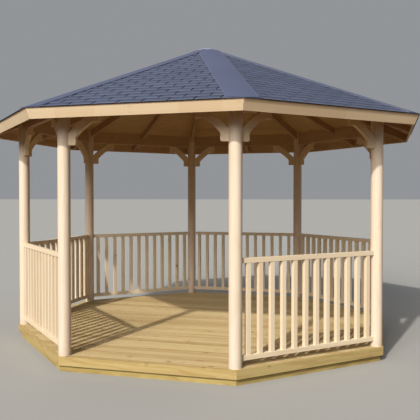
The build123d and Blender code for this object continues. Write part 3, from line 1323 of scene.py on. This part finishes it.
@dataclass
class HipStrips(SubAssembly):
    """Smooth felt bent over each hip in a shallow arc, slightly wavy, with a painted highlight along its
    cut edges.
    """

    half: float = 0.141
    thick: float = 0.0056
    lie: float = 0.0004
    bend: float = 0.0101
    build_up: float = 0.003
    lip: float = 0.0018
    seam: float = 0.0004
    waver: float = 0.0012
    waver_pace: float = 23.0
    ripple: float = 0.0003
    ripple_pace: tuple[float, float] = (61.0, 3.0)
    fold: tuple[float, ...] = (0.0, 0.10, 0.24, 0.40, 0.58, 0.78, 0.95, 1.0)
    steps: int = 26

    def depth(self, along: float) -> float:
        """How thick the felt is, more toward the peak, where the strips are lapped."""
        return self.thick + self.build_up * along**2

    def leg_point(self, hand: int, along: float, out: float) -> Vector:
        """A point of one leg's upper face, in its roof frame.

        Args:
            hand: +1 for the leg left of the hip on its face, -1 for the right one.
            along: 0 at the eave, 1 at the peak.
            out: 0 on the fold, 1 at the leg's edge.

        Returns:
            The point.
        """
        flat = 1 / math.sqrt(1 + PLAN.grade**2)
        waver = self.waver * out * (math.sin(along * self.waver_pace + hand) - 1)
        width = self.half * out + waver
        low = width * PLAN.grade * flat - PLAN.drip
        y_hip = low + (PLAN.top - low) * along
        wave = self.ripple * math.sin(along * self.ripple_pace[0] + out * self.ripple_pace[1])
        z = PLAN.cover + self.lie + self.depth(along) + wave - self.bend * (1 - out) ** 2
        x = PLAN.half_width(y_hip, z) - width * flat
        return Vector((hand * max(x, self.seam), y_hip - width * PLAN.grade * flat, z))

    def build(self) -> Piece:
        """Bends the strips over all eight hips.

        Returns:
            The piece.
        """
        forms = []
        legs = [(1, out) for out in self.fold[::-1]] + [(-1, out) for out in self.fold[1:]]
        for hip in range(PLAN.sides):
            fronts, backs = [], []
            for along in (n / self.steps for n in range(self.steps + 1)):
                front, back = [], []
                for hand, out in legs:
                    spot = self.leg_point(hand, along, out)
                    turn = PLAN.roof_frame(hip if hand > 0 else hip + 1)
                    front.append(turn @ spot)
                    spot.z -= self.depth(along)
                    if along == 0:
                        spot.z = min(spot.z, self.lip)
                    back.append(turn @ spot)
                fronts.append(front)
                backs.append(back)
            forms.append(shell(fronts, backs))
        piece = new_piece("hip_felt_strips", *gather(forms))
        # Painted highlight: points on a leg's cut edge get a rim of 1, which the felt's finish lightens
        highlight_rims = [float(out > 0.99) for _, out in legs] * (2 * (self.steps + 1) * PLAN.sides)
        piece.data.attributes.new("rim", "FLOAT", "POINT").data.foreach_set("value", highlight_rims)
        tidy_normals(piece, 0.00001)
        piece.data.materials.append(self.finish)
        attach(piece, "root")
        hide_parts("hip_strips")
        return piece


@dataclass
class PeakCover(SubAssembly):
    """The small felt cap dressed down over the blunt peak."""

    radii: tuple[float, ...] = (0.03, 0.058, 0.075, 0.085, 0.096, 0.12, 0.14, 0.150)
    thick: float = 0.0038
    around: int = 32
    soft: float = 0.004
    sag: float = 0.0016
    square_from: float = 0.12
    below_top: float = 0.0003

    def ring(self, radius: float, top: float, deepest: float) -> list[Vector]:
        """One ring of the upper face, round near the middle and eight-sided further out.

        Args:
            radius: How far the ring is from the middle, at the middle of a side.
            top: The height of the cap's top.
            deepest: How far below the top the upper face may fall.

        Returns:
            The ring's points.
        """
        outness = (radius / self.radii[-1]) ** 2
        drop = max(0.0, radius - PLAN.peak_flat + self.soft) * math.tan(PLAN.pitch)
        z = top - min(drop + self.sag * outness, deepest)
        points = []
        for n in range(self.around):
            angle = n * 2 * math.pi / self.around
            corner = abs((angle + PLAN.step / 2) % PLAN.step - PLAN.step / 2)
            square = radius / math.cos(corner)
            reach = radius + (square - radius) * min(1.0, radius / self.square_from)
            off_hip = reach * math.sin(PLAN.step / 2 - corner)
            bent = HipStrips.bend * (1 - off_hip / HipStrips.half) ** 2 - HipStrips.build_up
            height = z - bent * outness
            points.append(Vector((math.sin(angle) * reach, -math.cos(angle) * reach, height)))
        return points

    def build(self) -> Piece:
        """Makes the cap in rings, from a nearly flat top to eight soft faces.

        Returns:
            The piece.
        """
        low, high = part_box("peak_cap")
        top = high.z - self.below_top
        upper = [Vector((0, 0, top))]
        for radius in self.radii:
            upper += self.ring(radius, top, top - low.z - self.thick)
        points = upper + [point - Vector((0, 0, self.thick)) for point in upper]
        faces, size = [], len(upper)
        last = size - self.around
        for n in range(self.around):
            m = (n + 1) % self.around
            for start in (0, size):
                faces.append([start, start + 1 + n, start + 1 + m])
                for a in range(start + 1, start + last, self.around):
                    faces.append([a + n, a + self.around + n, a + self.around + m, a + m])
            faces.append([last + n, size + last + n, size + last + m, last + m])
        piece = new_piece("peak_felt_cap", points, faces)
        tidy_normals(piece)
        piece.data.materials.append(self.finish)
        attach(piece, "root")
        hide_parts("peak_cap")
        return piece


@dataclass
class Fixings(SubAssembly):
    """Countersunk screws with a star recess, in the deck, the rim, the fascia and the braces."""

    radius: float = 0.0042
    corners: int = 12
    recess: float = 0.72
    seed: int = 7
    proud: float = 0.0001
    clear: float = 0.03
    rim_columns: tuple[float, ...] = (-0.80, -0.27, 0.27, 0.80)
    rim_drops: tuple[float, ...] = (0.022, 0.068)
    fascia_end: float = 0.04
    fascia_joint: float = 0.012
    fascia_drops: tuple[float, ...] = (0.032, 0.080)
    foot_inset: float = 0.132
    foot_heights: tuple[float, ...] = (1.985, 2.030)
    nose_inset: float = 0.335
    nose_height: float = 2.180
    spots: list[tuple[Vector, Vector]] = field(default_factory=list)

    def head(self) -> Piece:
        """Makes one screw head facing up, a flat cone with a six-lobed recess.

        Returns:
            The head.
        """
        rings = ((1.0, -0.0004), (1.0, 0.0002), (0.55, 0.0005), (0.42, 0.0004), (0.30, -0.0006))
        points, faces, count = [], [], self.corners
        for scale, z in rings:
            for n in range(count):
                lobe = 1.0 if scale > 0.5 or n % 2 else self.recess
                angle = n * 2 * math.pi / count
                reach = self.radius * scale * lobe
                points.append(Vector((math.cos(angle) * reach, math.sin(angle) * reach, z)))
        last = (len(rings) - 1) * count
        for start in range(0, last, count):
            for n in range(count):
                a, c = start + n, start + (n + 1) % count
                faces.append([a, c, c + count, a + count])
        faces += [list(range(last, last + count)), list(range(count))[::-1]]
        return new_piece("screws", points, faces)

    def drive(self, turn: Matrix, at: Triple, facing: Triple) -> None:
        """Marks the place of one screw, and which way it faces, both in the frame given."""
        self.spots.append((turn @ Vector(at), (turn.to_3x3() @ Vector(facing)).normalized()))

    def mark_deck(self, deck: Deck) -> None:
        """Marks two screws where each deck board crosses each joist.

        Args:
            deck: The deck that they hold.
        """
        groove = (deck.pitch - deck.gap - 2 * deck.chamfer) / deck.grooves
        for i in range(deck.boards):
            middle = deck.first + (i + 0.5) * deck.pitch
            for x in (j * PLAN.joist_pitch for j in range(-4, 5)):
                for y in (middle - 2 * groove, middle + 2 * groove):
                    half = min(PLAN.deck_apothem, PLAN.deck_apothem * math.sqrt(2) - abs(y))
                    if abs(x) < half - self.clear:
                        self.drive(Matrix.Identity(4), (x, y, PLAN.floor_z), (0, 0, 1))

    def mark_sides(self) -> None:
        """Marks the screws in the rim boards, the fascia and the braces of every side."""
        half = PLAN.eave_apothem * PLAN.tan_half - self.fascia_end
        for side in range(PLAN.sides):
            turn = PLAN.on_side(side)
            for x in self.rim_columns:
                for drop in self.rim_drops:
                    self.drive(turn, (x, -PLAN.rim_apothem, PLAN.floor_z - drop), (0, -1, 0))
            face = PLAN.roof_frame(side)
            for x in (-half, -self.fascia_joint, self.fascia_joint, half):
                for drop in self.fascia_drops:
                    self.drive(face, (x, 0.0, -drop), (0, -1, 0))
            flat = PLAN.side_frame(side)
            for hand in (-1, 1):
                foot = hand * (PLAN.half_side - self.foot_inset)
                for z in self.foot_heights:
                    self.drive(flat, (foot, 0.0, PLAN.floor_z + z), (-hand, 0, 0))
                nose = hand * (PLAN.half_side - self.nose_inset)
                self.drive(flat, (nose, 0.0, PLAN.floor_z + self.nose_height), (0, 0, -1))

    def build(self) -> Piece:
        """Drives all marked screws.

        Returns:
            The piece.
        """
        points = [at + facing * self.proud for at, facing in self.spots]
        places = new_piece("screw_places", points, [])
        data = places.data.attributes.new("facing", "FLOAT_VECTOR", "POINT").data
        for i, (_, facing) in enumerate(self.spots):
            data[i].vector = facing
        piece = self.head()
        run_tree(piece, self.tree, {"Places": places, "Material": self.finish, "Seed": self.seed})
        bpy.data.objects.remove(places)
        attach(piece, "root")
        return piece


@dataclass
class Carpentry:
    """The solid timber of the frame, which keeps its shape and gets its finishes."""

    post: Timber
    railing: Timber
    brace: Timber
    framing: Timber
    fascia: Timber
    rim: Timber
    base: Timber

    def dress(self, effects: Effects, nodes: dict[str, Piece]) -> int:
        """Gives every timber node its material.

        Args:
            effects: The shared effects.
            nodes: The frame's nodes by name.

        Returns:
            How many nodes were dressed.
        """
        rules: list[tuple[str, Timber, Lie]] = [
            ("post_", self.post, Lie.POST),
            ("railing_", self.railing, Lie.RAILING),
            ("eave_beam_", self.framing, Lie.SIDE),
            ("knee_braces", self.brace, Lie.BRACE),
            ("hip_rafters", self.framing, Lie.HIP),
            ("middle_rafters", self.framing, Lie.RAFTER),
            ("crown", self.framing, Lie.CROWN),
            ("fascia", self.fascia, Lie.SIDE),
            ("deck_rim", self.rim, Lie.SIDE),
            ("base_frame", self.base, Lie.SIDE),
            ("deck_joists", self.base, Lie.JOIST),
        ]
        dressed, seed_step = 0, 1.37
        for number, (start, timber, lie) in enumerate(rules):
            material = timber.make(effects, lie, seed=number * seed_step)
            for name, node in nodes.items():
                if name.startswith(start):
                    for slot in node.material_slots:
                        slot.material = material
                    dressed += 1
        return dressed


@dataclass
class Studio:
    """The pale floor and backdrop, a low warm key light and the camera at the photograph's angle."""

    camera_at: Triple = (2.0551, -7.1633, 1.6216)
    heading: float = math.radians(15.757)
    tilt: float = math.radians(-1.104)
    lens: float = 52.57
    sensor: float = 36.0
    key_bearing: float = math.radians(10.7)
    key_height: float = math.radians(36.9)
    key_strength: float = 2.85
    key_angle: float = math.radians(1.6)
    glow_height: float = math.radians(27.0)
    glow_strength: float = 2.05
    glow_angle: float = math.radians(32.0)
    warm: Triple = (1.0, 0.95, 0.87)
    dome: Triple = (0.29, 0.30, 0.315)
    bounce: Triple = (0.114, 0.067, 0.028)
    horizon: tuple[float, float] = (-0.04, -0.01)
    pale: Triple = (0.38, 0.38, 0.37)
    dim: float = 0.96
    reach: float = 800.0

    def lay_floor(self) -> None:
        """Lays the plain pale floor; the world below gives its bounce, dim as from a lawn."""
        far = self.reach
        corners = [(-far, -far, 0), (far, -far, 0), (far, far, 0), (-far, far, 0)]
        floor = new_piece("studio_floor", corners, [[0, 1, 2, 3]])
        material, b, shader = blank_material("Pale studio floor")
        dim = tuple(self.dim * part for part in self.pale)
        colour = b.mix(b.noise(b.point(), 0.6, 3.0), dim, self.pale)
        b.feed(shader, {"Base Color": colour, "Roughness": 0.9})
        floor.data.materials.append(material)
        floor.visible_diffuse = False

    def hang_lamp(self, name: str, height: float, strength: float, angle: float) -> None:
        """Sets one far lamp at the key light's bearing.

        Args:
            name: The lamp's name.
            height: Its angle above the horizon.
            strength: How strong it is.
            angle: How wide it looks; a wider one is softer.
        """
        lamp = bpy.data.lights.new(name, "SUN")
        lamp.energy, lamp.angle, lamp.color = strength, angle, self.warm
        bulb = bpy.data.objects.new(name, lamp)
        flat = math.cos(height)
        east, south = math.sin(self.key_bearing) * flat, math.cos(self.key_bearing) * flat
        source = Vector((-east, -south, math.sin(height)))
        bulb.rotation_euler = source.to_track_quat("Z", "Y").to_euler()
        bpy.context.scene.collection.objects.link(bulb)

    def hang_lights(self) -> None:
        """Sets the lamps, the soft dome, and the dim light that comes up from the ground."""
        self.hang_lamp("key", self.key_height, self.key_strength, self.key_angle)
        self.hang_lamp("glow", self.glow_height, self.glow_strength, self.glow_angle)
        world = bpy.data.worlds.new("studio")
        world.use_nodes = True
        b = Bench(world.node_tree)
        height = b.split(b.get("ShaderNodeTexCoord", {}, "Generated"))[2]
        light = b.mix(b.fade(height, *self.horizon), self.bounce, self.dome)
        b.feed(world.node_tree.nodes["Background"], {"Color": light, "Strength": 1.0})
        bpy.context.scene.world = world
        bpy.context.scene.view_settings.view_transform = "Standard"

    def build(self) -> None:
        """Makes the floor, the lights and the camera."""
        self.lay_floor()
        self.hang_lights()
        lens = bpy.data.cameras.new("camera")
        lens.lens, lens.sensor_width, lens.clip_end = self.lens, self.sensor, 2.5 * self.reach
        camera = bpy.data.objects.new("camera", lens)
        flat = math.cos(self.tilt)
        east, north = -math.sin(self.heading) * flat, math.cos(self.heading) * flat
        ahead = Vector((east, north, math.sin(self.tilt)))
        camera.location = self.camera_at
        camera.rotation_euler = ahead.to_track_quat("-Z", "Y").to_euler()
        bpy.context.scene.collection.objects.link(camera)
        bpy.context.scene.camera = camera


def finishes() -> Carpentry:
    """Chooses the frame's timber, bright new spruce above a yellow-green treated base.

    Returns:
        The carpentry with its finishes.
    """
    post = Grain(
        shade(228, 212, 193), shade(198, 169, 133), shade(150, 104, 66),
        contrast=0.42, knots=0.06, pith=0.012, spread=0.12,
    )
    railing = Grain(
        shade(235, 219, 192), shade(201, 172, 132), shade(140, 96, 60),
        contrast=0.40, knots=0.08, pith=0.05, spread=0.20,
    )
    brace = Grain(
        shade(238, 220, 192), shade(208, 176, 134), shade(140, 96, 60),
        contrast=0.40, knots=0.05, pith=0.06, spread=0.15,
    )
    # Painted shade in part: the beams, rafters and crown, which stand under the roof, get a darker,
    # redder copy of the spruce
    framing = Grain(
        shade(193, 162, 127), shade(157, 117, 77), shade(106, 66, 40),
        contrast=0.50, knots=0.20, pith=0.06, spread=0.25,
    )
    fascia = Grain(
        shade(233, 211, 178), shade(203, 168, 124), shade(140, 94, 58),
        contrast=0.40, knots=0.14, pith=0.06, spread=0.08, joint=0.38, patch=0.30,
    )
    rim = Grain(
        shade(189, 168, 114), shade(146, 114, 59), shade(110, 66, 34),
        contrast=0.70, knots=0.40, pith=0.07, spread=0.20,
    )
    base = Grain(
        shade(192, 172, 108), shade(146, 116, 58), shade(98, 56, 30),
        contrast=0.75, knots=0.14, pith=0.07, spread=0.25,
    )
    return Carpentry(
        Timber("Turned spruce", post, soil=Soil(PLAN.floor_z + 0.01, PLAN.floor_z + 0.10, 0.25)),
        Timber("Railing spruce", railing),
        Timber("Brace spruce", brace),
        Timber("Framing spruce", framing),
        Timber("Fascia spruce", fascia),
        Timber("Treated rim board", rim, soil=Soil(0.02, 0.11, 0.25)),
        Timber("Sawn treated pine", base, relief=0.4, soil=Soil(0.0, 0.09, 0.4)),
    )


def main() -> None:
    """Builds the gazebo's pieces in order and reports each one."""
    logging.basicConfig(level=logging.INFO, format="%(name)s: %(message)s")
    Studio().build()
    effects = Effects()
    boards = boards_tree()
    log.info("dressed %d timber nodes", finishes().dress(effects, frame["nodes"]))
    decking = Grain(
        shade(193, 172, 126), shade(150, 118, 68), shade(104, 66, 36),
        contrast=0.70, knots=0.35, pith=0.05, spread=0.7,
    )
    deck_board = Timber("Grooved deck board", decking, 0.35, groove_below=PLAN.floor_z - 0.0012)
    boarding = Grain(
        shade(208, 176, 130), shade(162, 118, 72), shade(104, 64, 36),
        contrast=0.45, knots=0.28, pith=0.05, spread=0.35,
    )
    roof_board = Timber("Roof boarding spruce", boarding)
    # Its last colour is that of the painted highlight along the tabs' lower edges
    shingle = Felt(
        "Slate blue shingle felt", shade(50, 58, 79), shade(83, 93, 122), 0.35,
        Shingles.tab - Shingles.slot, Shingles.exposure, shade(131, 139, 162),
    )
    plain = Felt("Plain hip felt", shade(69, 76, 101), shade(87, 95, 125), 0.25)
    # Painted highlight: the cap's felt is paler than the strips', so that the peak shows a light rim
    pale = Felt("Pale peak felt", shade(120, 126, 150), shade(142, 148, 172), 0.25)
    backing = Felt("Starter felt", shade(30, 32, 40), shade(52, 55, 68), 0.3)
    deck = Deck(deck_board.make(effects, Lie.BOARD, 2.0), boards)
    screws = Fixings(Steel().make(), fixings_tree())
    screws.mark_deck(deck)
    screws.mark_sides()
    parts = [
        deck,
        RoofBoarding(roof_board.make(effects, Lie.BOARD, 9.0), boards),
        StarterSheet(backing.make(effects)),
        Shingles(shingle.make(effects), courses_tree()),
        HipStrips(plain.make(effects)),
        PeakCover(pale.make(effects)),
        screws,
    ]
    for part in parts:
        piece = part.build()
        log.info("%s: %d faces", piece.name, len(piece.data.polygons))


if __name__ == "__main__":
    main()
